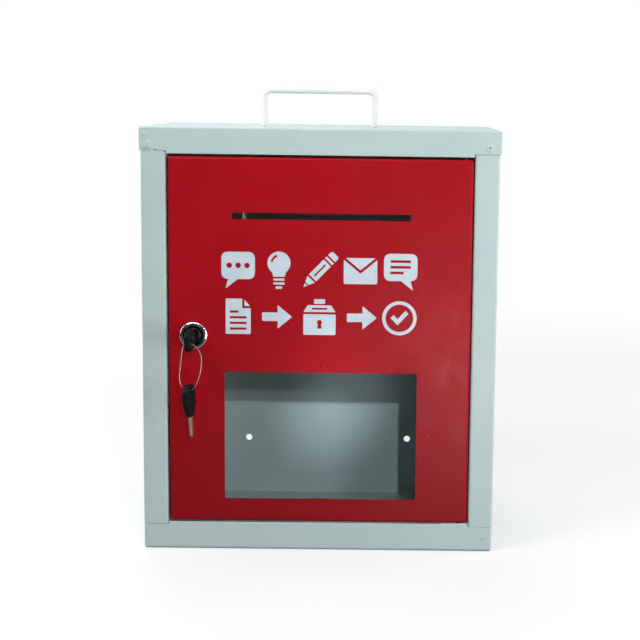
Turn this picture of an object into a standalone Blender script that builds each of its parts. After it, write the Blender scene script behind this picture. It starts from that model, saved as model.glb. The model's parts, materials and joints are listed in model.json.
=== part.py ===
"""Wall or counter suggestion box in folded sheet steel.

A pale body with a door frame in front, a hinged red door with a posting slot, a clear window and a cam
lock, a wire carrying handle on top, and two keys on a wire ring: one in the lock, one hanging.
Metres, +Z up, the door faces -Y, and the origin is the centre of the underside.
"""

import math

import bmesh
import bpy
from mathutils import Matrix, Vector

# Body
body_width = 0.300
body_height = 0.360
body_depth = 0.150
body_sheet = 0.0010
body_bend_radius = 0.0016
tray_bend_radius = 0.0026
fit_gap = 0.0003
frame_side_width = 0.022
frame_top_width = 0.022
frame_bottom_width = 0.024
frame_step = 0.0024
frame_return_depth = 0.015
rear_return_width = 0.014
side_notch_depth = 0.017
back_corner_radius = 0.003

# Holes for wall screws in the back
wall_hole_diameter = 0.006
wall_hole_spacing = 0.154
wall_hole_inset = 0.055

# Carrying handle: a wire pull screwed on from inside the box
handle_centres = 0.0965
handle_rise = 0.0335
handle_rod_diameter = 0.0050
handle_corner_radius = 0.0055
handle_setback = 0.070
handle_shift = -0.0050
handle_screw_diameter = 0.0032
handle_screw_head_diameter = 0.007
handle_screw_head_height = 0.0022
handle_screw_bite = 0.009
handle_washer_diameter = 0.009
handle_washer_thickness = 0.0008

# Door
door_sheet = 0.0010
door_depth = 0.015
door_bend_radius = 0.0026
door_gap_left = 0.0016
door_gap_right = 0.0008
door_gap_top = 0.0020
door_gap_bottom = 0.0008
cutout_shift = 0.0010

# Posting slot
slot_length = 0.149
slot_height = 0.0055
slot_corner_radius = 0.0010
slot_drop = 0.049

# Paper guide behind the slot: a short ramp below it between two upright cheeks
guide_sheet = 0.0010
guide_bend_radius = 0.0012
guide_left_inset = 0.0079
guide_right_inset = 0.0002
guide_depth = 0.0275
guide_drop = 0.0055
guide_ramp_fall = 0.0130
guide_flange = 0.0090
guide_cheek_rise = 0.0070
guide_cheek_front_share = 0.80

# Window, its clear pane and the four clips that hold the pane
window_width = 0.162
window_height = 0.110
window_corner_radius = 0.0015
window_rise = 0.0752
pane_overlap = 0.003
pane_thickness = 0.003
pane_corner_radius = 0.002
clip_sheet = 0.0008
clip_length = 0.016
clip_bend_radius = 0.0008
clip_step_out = 0.0042
clip_foot_end_out = 0.0110
clip_tip_out = 0.0006

# Hinge
hinge_edge_distance = 0.007
hinge_face_distance = 0.004
hinge_pin_diameter = 0.0040
hinge_pin_head_diameter = 0.0054
hinge_pin_head_height = 0.0015
hinge_pin_reach = 0.008
bracket_sheet = 0.0015
bracket_length = 0.024
bracket_bend_radius = 0.0015
bracket_post_depth = 0.013
bracket_foot_length = 0.010

# Door stops behind the left side of the frame
stop_width = 0.015
stop_height = 0.020
stop_thickness = 0.0015
stop_grip = 0.0065
stop_inset = 0.060

# Cam lock
lock_inset = 0.021
lock_rise = 0.161
bezel_diameter = 0.0235
bezel_height = 0.0024
bezel_rim_width = 0.0022
bezel_dish = 0.0007
barrel_diameter = 0.019
barrel_flats = 0.0165
plug_diameter = 0.0125
plug_drive_width = 0.007
lock_nut_across_flats = 0.024
lock_nut_thickness = 0.003
cam_thickness = 0.002
cam_hub_radius = 0.0085
cam_reach = 0.030
cam_width = 0.013
cam_tip_radius = 0.003
cam_screw_diameter = 0.0032
cam_screw_head_diameter = 0.0078
cam_screw_head_height = 0.0025
cam_screw_bite = 0.0035
cam_washer_diameter = 0.011
cam_washer_thickness = 0.0008

# Keys
key_head_length = 0.026
key_head_width = 0.017
key_head_thickness = 0.0055
key_head_edge_radius = 0.0012
key_head_corner_radius = 0.003
key_hole_diameter = 0.006
key_hole_inset = 0.005
key_blade_length = 0.0175
key_blade_width = 0.0052
key_blade_thickness = 0.0018
key_tang_length = 0.004
key_stand_off = 0.0031
key_2_twist = math.radians(-12)
key_2_lean = math.radians(4)
head_outline_shares = ((0.0, 0.29), (0.17, 0.5), (0.62, 0.5), (0.90, 0.25), (1.0, 0.25))
blade_cut_shares = ((0.28, 0.20), (0.42, 0.08), (0.55, 0.28), (0.68, 0.12), (0.80, 0.24))
blade_tip_share = 0.90
blade_slope_share = 0.40

# Wire ring that joins the keys
ring_height = 0.039
ring_width = 0.0171
ring_bow = 0.0019
ring_skew = 0.0010
ring_wire_diameter = 0.0009
ring_roundness = 2.4
ring_hang = 0.0015
key_2_hang = 0.0007

# One overrun serves every cut
overrun = 0.002

# Shares used by the drawing helpers
corner_side_share = 0.45
pin_chamfer_share = 0.25
merge_gap_share = 0.01
skew_peak_scale = 1.5 * math.sqrt(3)

# Places worked out from the sizes above
front_y = -body_depth / 2
side_face = body_width / 2 - body_sheet - fit_gap
opening_left = -(body_width / 2 - frame_side_width)
opening_right = body_width / 2 - frame_side_width
opening_bottom = frame_bottom_width
opening_top = body_height - frame_top_width
door_left = opening_left + door_gap_left
door_right = opening_right - door_gap_right
door_bottom = opening_bottom + door_gap_bottom
stile_bottom = opening_bottom - frame_step
stile_top = opening_top + frame_step
door_top = opening_top - door_gap_top
door_middle = (door_left + door_right) / 2
cutout_x = door_middle + cutout_shift
slot_z = door_top - slot_drop
window_z = door_bottom + window_rise
hinge_x = door_right - hinge_edge_distance
lock_x = door_left + lock_inset
lock_z = door_bottom + lock_rise
cam_front = frame_return_depth + fit_gap
pane_front = door_sheet + fit_gap
key_head_front = -bezel_height - key_stand_off
key_1_hole_depth = key_head_front - key_head_length + key_hole_inset
ring_top_z = lock_z - ring_hang
ring_bottom_z = ring_top_z - ring_height
key_2_z = ring_bottom_z - key_2_hang

# Drawing planes: across, up and depth behind the front; plan; side section; each ends in world space
front_view = Matrix(((1, 0, 0, 0), (0, 0, 1, front_y), (0, 1, 0, 0), (0, 0, 0, 1)))
plan_view = Matrix(((1, 0, 0, 0), (0, 1, 0, front_y), (0, 0, 1, 0), (0, 0, 0, 1)))
side_view = Matrix(((0, 0, 1, 0), (1, 0, 0, front_y), (0, 1, 0, 0), (0, 0, 0, 1)))


def linear(channel):
    """One colour channel from screen value to linear light."""
    value = channel / 255
    return value / 12.92 if value <= 0.04045 else ((value + 0.055) / 1.055) ** 2.4


def material(name, red, green, blue, roughness, metallic=0.0, alpha=1.0):
    made = bpy.data.materials.new(name)
    made.use_nodes = True
    shader = made.node_tree.nodes["Principled BSDF"]
    shader.inputs["Base Color"].default_value = (linear(red), linear(green), linear(blue), 1.0)
    shader.inputs["Roughness"].default_value = roughness
    shader.inputs["Metallic"].default_value = metallic
    shader.inputs["Alpha"].default_value = alpha
    return made


def finish_mesh(name, mesh_data, view, surface, smooth=False):
    """Turns a bmesh drawn in a view's plane into a named object in the part's space."""
    mesh_data.transform(view)
    mesh_data.normal_update()
    bmesh.ops.recalc_face_normals(mesh_data, faces=mesh_data.faces)
    mesh = bpy.data.meshes.new(name)
    mesh_data.to_mesh(mesh)
    mesh_data.free()
    if smooth:
        mesh.shade_smooth()
        mesh.set_sharp_from_angle(angle=math.radians(35))
    made = bpy.data.objects.new(name, mesh)
    made.data.materials.append(surface)
    bpy.context.scene.collection.objects.link(made)
    return made


def rounded_outline(corners, radius, steps=4):
    """Closed outline whose corners are rounded by arcs of one radius, limited by the sides."""
    points = []
    count = len(corners)
    for index in range(count):
        here = Vector(corners[index])
        back = Vector(corners[index - 1]) - here
        ahead = Vector(corners[(index + 1) % count]) - here
        half_angle = back.angle(ahead) / 2
        longest = min(back.length, ahead.length) * corner_side_share
        reach = min(radius / math.tan(half_angle), longest)
        arc_radius = reach * math.tan(half_angle)
        middle = (back.normalized() + ahead.normalized()).normalized()
        centre = here + middle * (arc_radius / math.sin(half_angle))
        start = here + back.normalized() * reach - centre
        end = here + ahead.normalized() * reach - centre
        turn = start.angle_signed(end)
        for step in range(steps + 1):
            arm = start.copy()
            arm.rotate(Matrix.Rotation(-turn * step / steps, 2))
            points.append(tuple(centre + arm))
    return points


def rectangle(left, bottom, right, top):
    return [(left, bottom), (right, bottom), (right, top), (left, top)]


def centred_rectangle(across, up, width, height):
    return rectangle(across - width / 2, up - height / 2, across + width / 2, up + height / 2)


def prism(name, outline, low, high, view, surface, smooth=False):
    """Outline in a view's plane, pulled from one depth to another."""
    drawing = bmesh.new()
    base = drawing.faces.new([drawing.verts.new((u, v, low)) for u, v in outline])
    pulled = bmesh.ops.extrude_face_region(drawing, geom=[base])
    tops = [item for item in pulled["geom"] if isinstance(item, bmesh.types.BMVert)]
    bmesh.ops.translate(drawing, verts=tops, vec=(0, 0, high - low))
    return finish_mesh(name, drawing, view, surface, smooth)


def turned(name, profile, centre, view, surface, segments=24):
    """Profile of (radius, depth) points spun about a view's depth axis; radius 0 closes an end."""
    drawing = bmesh.new()
    across, up = centre
    points = [drawing.verts.new((across + radius, up, depth)) for radius, depth in profile]
    edges = [drawing.edges.new(pair) for pair in zip(points, points[1:])]
    if profile[0][0] > 0 and profile[-1][0] > 0:
        edges.append(drawing.edges.new((points[-1], points[0])))
    bmesh.ops.spin(
        drawing,
        geom=points + edges,
        cent=(across, up, 0),
        axis=(0, 0, 1),
        angle=math.tau,
        steps=segments,
        use_merge=True,
    )
    bmesh.ops.remove_doubles(drawing, verts=drawing.verts, dist=fit_gap * merge_gap_share)
    return finish_mesh(name, drawing, view, surface, smooth=True)


def swept_rod(name, path, diameter, depth, surface, sides=12, closed=False):
    """Round rod along a path in the front view, at one depth."""
    drawing = bmesh.new()
    points = [Vector(point) for point in path]
    count = len(points)
    rings = []
    for index, point in enumerate(points):
        before = points[index - 1] if closed or index > 0 else point
        after = points[(index + 1) % count] if closed or index < count - 1 else point
        along = (after - before).normalized()
        across = Vector((along.y, -along.x))
        to_before = point - before
        to_after = after - point
        stretch = 1.0
        if to_before.length > 0 and to_after.length > 0:
            stretch = 1 / math.cos(to_before.angle(to_after) / 2)
        ring = []
        for side in range(sides):
            angle = math.tau * side / sides
            reach = across * (math.cos(angle) * stretch * diameter / 2)
            ring.append(drawing.verts.new((*(point + reach), depth + math.sin(angle) * diameter / 2)))
        rings.append(ring)
    pairs = list(zip(rings, rings[1:]))
    if closed:
        pairs.append((rings[-1], rings[0]))
    for first, second in pairs:
        for side in range(sides):
            after = (side + 1) % sides
            drawing.faces.new((first[side], first[after], second[after], second[side]))
    if not closed:
        drawing.faces.new(rings[0])
        drawing.faces.new(rings[-1])
    return finish_mesh(name, drawing, front_view, surface, smooth=True)


def bend_and_thicken(made, bend_radius, thickness, offset):
    """Rounds the folds of a surface and gives it the sheet's thickness."""
    bend = made.modifiers.new("Bends", "BEVEL")
    bend.width = bend_radius
    bend.segments = 3
    bend.limit_method = "ANGLE"
    bend.angle_limit = math.radians(40)
    thicken = made.modifiers.new("Sheet", "SOLIDIFY")
    thicken.thickness = thickness
    thicken.offset = offset
    thicken.use_even_offset = True
    return made


def bent_sheet(name, line, low, high, thickness, bend_radius, view, surface):
    """Strip folded along a centre line in a view's plane, pulled from one depth to another."""
    drawing = bmesh.new()
    near = [drawing.verts.new((u, v, low)) for u, v in line]
    far = [drawing.verts.new((u, v, high)) for u, v in line]
    for index in range(len(line) - 1):
        drawing.faces.new((near[index], near[index + 1], far[index + 1], far[index]))
    made = finish_mesh(name, drawing, view, surface)
    return bend_and_thicken(made, bend_radius, thickness, 0.0)


def sheet_pan(name, low, high, open_side, thickness, bend_radius, surface):
    """Box of sheet between two corners, with one side left open; -Y, +Y, -Z or +Z as a vector."""
    drawing = bmesh.new()
    bmesh.ops.create_cube(drawing, size=1.0)
    size = Vector(high) - Vector(low)
    bmesh.ops.scale(drawing, verts=drawing.verts, vec=size)
    bmesh.ops.translate(drawing, verts=drawing.verts, vec=(Vector(low) + Vector(high)) / 2)
    drawing.normal_update()
    opened = [face for face in drawing.faces if face.normal.dot(Vector(open_side)) > 0.5]
    bmesh.ops.delete(drawing, geom=opened, context="FACES_ONLY")
    made = finish_mesh(name, drawing, Matrix.Identity(4), surface)
    facing_out = made.data.polygons[0]
    outward = facing_out.normal.dot(facing_out.center - (Vector(low) + Vector(high)) / 2) > 0
    return bend_and_thicken(made, bend_radius, thickness, -1.0 if outward else 1.0)


def use_tool(target, tool, operation):
    """Boolean with a tool object that follows its target and stays out of the model."""
    tool.hide_render = True
    tool.display_type = "WIRE"
    tool.parent = target
    cut = target.modifiers.new(tool.name, "BOOLEAN")
    cut.operation = operation
    cut.solver = "EXACT"
    cut.object = tool


def cut_away(target, tool):
    use_tool(target, tool, "DIFFERENCE")


def weld_on(target, tool):
    use_tool(target, tool, "UNION")


def pin_profile(shank_diameter, head_diameter, head_height, shank_length, head_start, direction):
    """Half outline of a headed pin: its head starts at one depth and its shank runs against direction."""
    head_end = head_start + direction * head_height
    tip = head_start - direction * shank_length
    shank = shank_diameter / 2
    head = head_diameter / 2
    chamfer = head_height * pin_chamfer_share
    return [
        (0, head_end),
        (head - chamfer, head_end),
        (head, head_end - direction * chamfer),
        (head, head_start),
        (shank, head_start),
        (shank, tip),
        (0, tip),
    ]


def ring_profile(inner_diameter, outer_diameter, low, high):
    inner = inner_diameter / 2
    outer = outer_diameter / 2
    return [(inner, low), (outer, low), (outer, high), (inner, high)]


def hole_tool(name, centre, diameter, low, high, view, segments=20):
    profile = [(0, low), (diameter / 2, low), (diameter / 2, high), (0, high)]
    return turned(name, profile, centre, view, materials["steel"], segments)


def skirt_trim(name, low, high):
    """Tool that shortens a pan's skirts, but not its front skirt between the two stiles."""
    left = opening_left + fit_gap
    right = opening_right - fit_gap
    outside = body_width / 2 + overrun
    outline = [
        (-outside, -overrun),
        (left, -overrun),
        (left, side_notch_depth),
        (right, side_notch_depth),
        (right, -overrun),
        (outside, -overrun),
        (outside, body_depth + overrun),
        (-outside, body_depth + overrun),
    ]
    return prism(name, outline, low, high, plan_view, materials["body_paint"])


def make_top_panel():
    """Lid of the body: its front skirt is the top of the door frame, its side skirts lap the sides."""
    made = sheet_pan(
        "top_panel",
        (-body_width / 2, front_y, opening_top),
        (body_width / 2, -front_y - body_sheet - fit_gap, body_height),
        (0, 0, -1),
        body_sheet,
        body_bend_radius,
        materials["body_paint"],
    )
    for side, across in handle_feet():
        tool = hole_tool(
            f"cut_top_{side}",
            (across, handle_setback),
            handle_screw_diameter + 2 * fit_gap,
            body_height - body_sheet - overrun,
            body_height + overrun,
            plan_view,
        )
        cut_away(made, tool)
    cut_away(made, skirt_trim("cut_top_skirts", opening_top - overrun, stile_top))
    return made


def make_bottom_panel():
    """Floor tray: its front skirt is the sill of the door frame, and the sides stand on its skirts."""
    made = sheet_pan(
        "bottom_panel",
        (-side_face, front_y, 0),
        (side_face, -front_y - body_sheet - fit_gap, opening_bottom),
        (0, 0, 1),
        body_sheet,
        tray_bend_radius,
        materials["body_paint"],
    )
    cut_away(made, skirt_trim("cut_tray_skirts", stile_bottom, opening_bottom + overrun))
    return made


def make_side_panel(name, direction):
    """Side wall with the frame's stile and its return in front and a flange for the back behind."""
    half = body_sheet / 2
    edge = body_width / 2 - frame_side_width + half
    wall = side_face - half
    rear = body_depth - body_sheet - fit_gap - half
    line = [
        (direction * edge, frame_return_depth),
        (direction * edge, half),
        (direction * wall, half),
        (direction * wall, rear),
        (direction * (side_face - rear_return_width), rear),
    ]
    low = stile_bottom + fit_gap
    high = body_height - body_sheet - fit_gap
    made = bent_sheet(name, line, low, high, body_sheet, body_bend_radius, plan_view, materials["body_paint"])
    inner = direction * (edge - rear_return_width)
    outer = direction * (body_width / 2 + overrun)
    across = sorted((inner, outer))
    for place, front, back in (
        ("front", -overrun, side_notch_depth),
        ("rear", body_depth - side_notch_depth, body_depth + overrun),
    ):
        notch = prism(
            f"cut_{name}_{place}",
            rectangle(across[0], front, across[1], back),
            stile_top - fit_gap,
            body_height + overrun,
            plan_view,
            materials["body_paint"],
        )
        cut_away(made, notch)
    return made


def make_back_panel():
    """Flat back with four holes for wall screws."""
    outline = rounded_outline(rectangle(-side_face, 0, side_face, body_height), back_corner_radius)
    front = body_depth - body_sheet
    made = prism("back_panel", outline, front, body_depth, front_view, materials["body_paint"])
    for column in (-1, 1):
        for row, height in (("low", wall_hole_inset), ("high", body_height - wall_hole_inset)):
            side = "left" if column < 0 else "right"
            tool = hole_tool(
                f"cut_back_{side}_{row}",
                (column * wall_hole_spacing / 2, height),
                wall_hole_diameter,
                front - overrun,
                body_depth + overrun,
                front_view,
            )
            cut_away(made, tool)
    return made


def handle_feet():
    half = handle_centres / 2
    return (("left", handle_shift - half), ("right", handle_shift + half))


def make_handle():
    """Wire pull: one round rod bent twice, bored at its feet for the screws."""
    (_, left), (_, right) = handle_feet()
    foot = body_height + fit_gap
    top = body_height + handle_rise - handle_rod_diameter / 2
    radius = handle_corner_radius
    steps = 6
    path = [(left, foot)]
    for step in range(steps + 1):
        angle = math.pi - math.pi / 2 * step / steps
        path.append((left + radius + radius * math.cos(angle), top - radius + radius * math.sin(angle)))
    for step in range(steps + 1):
        angle = math.pi / 2 - math.pi / 2 * step / steps
        path.append((right - radius + radius * math.cos(angle), top - radius + radius * math.sin(angle)))
    path.append((right, foot))
    made = swept_rod("handle", path, handle_rod_diameter, handle_setback, materials["handle_white"], sides=16)
    for side, across in handle_feet():
        tool = hole_tool(
            f"cut_handle_{side}",
            (across, handle_setback),
            handle_screw_diameter + 2 * fit_gap,
            foot - overrun,
            foot + handle_screw_bite + fit_gap,
            plan_view,
            segments=16,
        )
        cut_away(made, tool)
    return made


def make_handle_fixings():
    made = []
    underside = body_height - body_sheet
    washer_top = underside - fit_gap
    washer_bottom = washer_top - handle_washer_thickness
    head_start = washer_bottom - fit_gap
    for side, across in handle_feet():
        centre = (across, handle_setback)
        washer = ring_profile(
            handle_screw_diameter + 2 * fit_gap, handle_washer_diameter, washer_bottom, washer_top
        )
        made.append(turned(f"handle_washer_{side}", washer, centre, plan_view, materials["steel"], 20))
        screw = pin_profile(
            handle_screw_diameter,
            handle_screw_head_diameter,
            handle_screw_head_height,
            body_height + handle_screw_bite - head_start,
            head_start,
            -1,
        )
        made.append(turned(f"handle_screw_{side}", screw, centre, plan_view, materials["steel"], 16))
    return made


def make_hinge():
    """Two folded brackets inside the body, each with a headed pin that enters the door's edge fold."""
    made = []
    lower_face = door_bottom - fit_gap
    upper_face = opening_top + fit_gap
    post = bracket_post_depth
    start = body_sheet + fit_gap
    half = bracket_sheet / 2
    foot_end = post + bracket_foot_length
    centre = (hinge_x, hinge_face_distance)
    for place, leaf, floor, inward in (
        ("upper", upper_face + half, body_height - body_sheet - fit_gap - half, 1),
        ("lower", lower_face - half, body_sheet + fit_gap + half, -1),
    ):
        line = [(start, leaf), (post, leaf), (post, floor), (foot_end, floor)]
        right = opening_right - fit_gap
        bracket = bent_sheet(
            f"hinge_bracket_{place}",
            line,
            right - bracket_length,
            right,
            bracket_sheet,
            bracket_bend_radius,
            side_view,
            materials["body_paint"],
        )
        tool = hole_tool(
            f"cut_bracket_{place}",
            centre,
            hinge_pin_diameter + 2 * fit_gap,
            leaf - half - overrun,
            leaf + half + overrun,
            plan_view,
        )
        cut_away(bracket, tool)
        seat = leaf + inward * (half + fit_gap)
        door_edge = door_top if place == "upper" else door_bottom
        reach = abs(seat - door_edge) + hinge_pin_reach
        profile = pin_profile(
            hinge_pin_diameter, hinge_pin_head_diameter, hinge_pin_head_height, reach, seat, inward
        )
        made += [bracket, turned(f"hinge_pin_{place}", profile, centre, plan_view, materials["steel"], 20)]
    return made


def make_door_stops():
    """Two tabs welded on the rear edge of the left stile's return; the door's edge fold meets them."""
    made = []
    left = opening_left - (stop_width - stop_grip)
    front = frame_return_depth + fit_gap
    for place, low in (
        ("upper", opening_top - stop_inset - stop_height),
        ("lower", opening_bottom + stop_inset),
    ):
        outline = rounded_outline(rectangle(left, low, left + stop_width, low + stop_height), stop_thickness)
        name = f"door_stop_{place}"
        made.append(prism(name, outline, front, front + stop_thickness, front_view, materials["body_paint"]))
    return made


def make_door_panel():
    """Door pan with the posting slot, the window, the lock hole and the holes for the hinge pins."""
    made = sheet_pan(
        "door_panel",
        (door_left, front_y, door_bottom),
        (door_right, front_y + door_depth, door_top),
        (0, 1, 0),
        door_sheet,
        door_bend_radius,
        materials["door_paint"],
    )
    through = (-overrun, door_sheet + overrun)
    slot = rounded_outline(
        centred_rectangle(cutout_x, slot_z, slot_length, slot_height), slot_corner_radius
    )
    cut_away(made, prism("cut_slot", slot, *through, front_view, materials["door_paint"]))
    window = rounded_outline(
        centred_rectangle(cutout_x, window_z, window_width, window_height), window_corner_radius
    )
    cut_away(made, prism("cut_window", window, *through, front_view, materials["door_paint"]))
    hole = flat_sided_circle((lock_x, lock_z), barrel_diameter + 2 * fit_gap, barrel_flats + 2 * fit_gap)
    cut_away(made, prism("cut_lock", hole, *through, front_view, materials["door_paint"]))
    for place, edge in (("upper", door_top), ("lower", door_bottom)):
        tool = hole_tool(
            f"cut_door_{place}",
            (hinge_x, hinge_face_distance),
            hinge_pin_diameter + 2 * fit_gap,
            edge - door_sheet - overrun,
            edge + door_sheet + overrun,
            plan_view,
        )
        cut_away(made, tool)
    return made


def make_window_pane():
    outline = centred_rectangle(
        cutout_x, window_z, window_width + 2 * pane_overlap, window_height + 2 * pane_overlap
    )
    rounded = rounded_outline(outline, pane_corner_radius)
    back = pane_front + pane_thickness
    return prism("window_pane", rounded, pane_front, back, front_view, materials["clear_pane"])


def make_pane_clips():
    """Four stepped clips spot welded behind the door, one at the middle of each side of the window."""
    made = []
    half = clip_sheet / 2
    foot = door_sheet + fit_gap + half
    tongue = pane_front + pane_thickness + fit_gap + half
    line = [
        (clip_foot_end_out, foot),
        (clip_step_out, foot),
        (clip_step_out, tongue),
        (clip_tip_out, tongue),
    ]
    sides = (
        ("right", (1, 0), window_width / 2),
        ("left", (-1, 0), window_width / 2),
        ("top", (0, 1), window_height / 2),
        ("bottom", (0, -1), window_height / 2),
    )
    for side, (across, up), reach in sides:
        x = cutout_x + across * reach
        z = window_z + up * reach
        view = Matrix(((across, 0, abs(up), x), (0, 1, 0, front_y), (up, 0, abs(across), z), (0, 0, 0, 1)))
        made.append(
            bent_sheet(
                f"pane_clip_{side}",
                line,
                -clip_length / 2,
                clip_length / 2,
                clip_sheet,
                clip_bend_radius,
                view,
                materials["steel"],
            )
        )
    return made


def make_slot_guide():
    """Folded tray welded below the slot; its ramp leads slips in, and its cheeks stand beside them."""
    half = guide_sheet / 2
    seat = door_sheet + fit_gap
    ramp_top = slot_z - guide_drop
    ramp_end = ramp_top - guide_ramp_fall
    line = [
        (seat + half, ramp_top - guide_flange),
        (seat + half, ramp_top),
        (guide_depth, ramp_end),
    ]
    left = cutout_x - slot_length / 2 + guide_left_inset
    right = cutout_x + slot_length / 2 - guide_right_inset
    paint = materials["body_paint"]
    made = bent_sheet("slot_guide", line, left, right, guide_sheet, guide_bend_radius, side_view, paint)
    cheek_top = slot_z + guide_cheek_rise
    shoulder = seat + (guide_depth - seat) * guide_cheek_front_share
    cheek = [
        (seat, ramp_top),
        (seat, cheek_top),
        (shoulder, cheek_top),
        (guide_depth, ramp_top),
        (guide_depth, ramp_end),
    ]
    for side, low in (("left", left), ("right", right - guide_sheet)):
        weld_on(made, prism(f"add_cheek_{side}", cheek, low, low + guide_sheet, side_view, paint))
    return made


def flat_sided_circle(centre, diameter, flats):
    """Circle with two upright flats, as a lock's barrel and its hole have."""
    radius = diameter / 2
    reach = math.acos(flats / diameter)
    steps = 12
    points = []
    for start in (reach, reach + math.pi):
        for step in range(steps + 1):
            angle = start + (math.pi - 2 * reach) * step / steps
            points.append((centre[0] + radius * math.cos(angle), centre[1] + radius * math.sin(angle)))
    return points


def make_lock_housing():
    """Flat-sided barrel with a dished round face; the door is held between its rim and the nut."""
    bore = plug_diameter / 2 + fit_gap
    outer = bezel_diameter / 2
    barrel = barrel_diameter / 2
    rim = outer - bezel_rim_width
    edge = bezel_rim_width / 2
    profile = [
        (bore, -bezel_height + bezel_dish),
        (rim - edge / 2, -bezel_height + bezel_dish),
        (rim, -bezel_height),
        (outer - edge, -bezel_height),
        (outer - edge / 4, -bezel_height + edge / 2),
        (outer, -bezel_height + edge),
        (outer, -fit_gap),
        (barrel, -fit_gap),
        (barrel, frame_return_depth),
        (bore, frame_return_depth),
    ]
    made = turned("lock_housing", profile, (lock_x, lock_z), front_view, materials["chrome"], 40)
    inner = barrel_flats / 2
    for side, across in (("left", (-outer, -inner)), ("right", (inner, outer))):
        flat = rectangle(lock_x + across[0], lock_z - outer, lock_x + across[1], lock_z + outer)
        depths = (-fit_gap, frame_return_depth + overrun)
        cut_away(made, prism(f"cut_flat_{side}", flat, *depths, front_view, materials["chrome"]))
    return made


def make_lock_nut():
    """Hexagon nut behind the door sheet."""
    corner = lock_nut_across_flats / math.sqrt(3)
    outline = []
    for index in range(6):
        angle = math.tau * index / 6
        outline.append((lock_x + corner * math.cos(angle), lock_z + corner * math.sin(angle)))
    front = door_sheet + fit_gap
    back = front + lock_nut_thickness
    made = prism("lock_nut", outline, front, back, front_view, materials["steel"])
    bore = barrel_diameter + 2 * fit_gap
    through = (front - overrun, back + overrun)
    cut_away(made, hole_tool("cut_nut", (lock_x, lock_z), bore, *through, front_view, 32))
    return made


def keyway_outline(clearance):
    width = key_blade_thickness + 2 * clearance
    height = key_blade_width + 2 * clearance
    return centred_rectangle(lock_x, lock_z, width, height)


def make_lock_plug():
    """Turning core: keyway in front, square drive and screw bore behind."""
    front = -bezel_height + bezel_dish
    shoulder = frame_return_depth
    drive_end = cam_front + cam_thickness - fit_gap
    radius = plug_diameter / 2
    profile = [
        (0, front),
        (radius - fit_gap, front),
        (radius, front + fit_gap),
        (radius, shoulder),
        (0, shoulder),
    ]
    made = turned("lock_plug", profile, (lock_x, lock_z), front_view, materials["chrome"], 32)
    drive = prism(
        "add_plug_drive",
        centred_rectangle(lock_x, lock_z, plug_drive_width, plug_drive_width),
        shoulder - overrun,
        drive_end,
        front_view,
        materials["chrome"],
    )
    weld_on(made, drive)
    keyway_end = key_1_hole_depth - key_hole_inset + key_head_length + key_blade_length + fit_gap
    keyway = prism(
        "cut_keyway", keyway_outline(fit_gap), front - overrun, keyway_end, front_view, materials["chrome"]
    )
    cut_away(made, keyway)
    bore = cam_screw_diameter + 2 * fit_gap
    depths = (drive_end - cam_screw_bite, drive_end + overrun)
    cut_away(made, hole_tool("cut_plug_bore", (lock_x, lock_z), bore, *depths, front_view, 16))
    return made


def make_lock_cam():
    """Flat arm that hangs straight down when the lock is open and swings behind the stile when locked."""
    half = cam_width / 2
    hub = cam_hub_radius
    corners = [
        (lock_x - half, lock_z - cam_reach),
        (lock_x + half, lock_z - cam_reach),
        (lock_x + half, lock_z - hub),
        (lock_x + hub, lock_z),
        (lock_x + half, lock_z + hub),
        (lock_x - half, lock_z + hub),
        (lock_x - hub, lock_z),
        (lock_x - half, lock_z - hub),
    ]
    outline = rounded_outline(corners, cam_tip_radius, steps=3)
    back = cam_front + cam_thickness
    made = prism("lock_cam", outline, cam_front, back, front_view, materials["steel"])
    width = plug_drive_width + 2 * fit_gap
    square = centred_rectangle(lock_x, lock_z, width, width)
    tool = prism("cut_cam", square, cam_front - overrun, back + overrun, front_view, materials["steel"])
    cut_away(made, tool)
    return made


def make_cam_fixings():
    centre = (lock_x, lock_z)
    washer_front = cam_front + cam_thickness + fit_gap
    washer_back = washer_front + cam_washer_thickness
    hole = cam_screw_diameter + 2 * fit_gap
    washer = ring_profile(hole, cam_washer_diameter, washer_front, washer_back)
    head_start = washer_back + fit_gap
    reach = head_start - (cam_front + cam_thickness) + cam_screw_bite
    screw = pin_profile(
        cam_screw_diameter, cam_screw_head_diameter, cam_screw_head_height, reach, head_start, 1
    )
    return [
        turned("cam_washer", washer, centre, front_view, materials["steel"], 20),
        turned("cam_screw", screw, centre, front_view, materials["steel"], 16),
    ]


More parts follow.
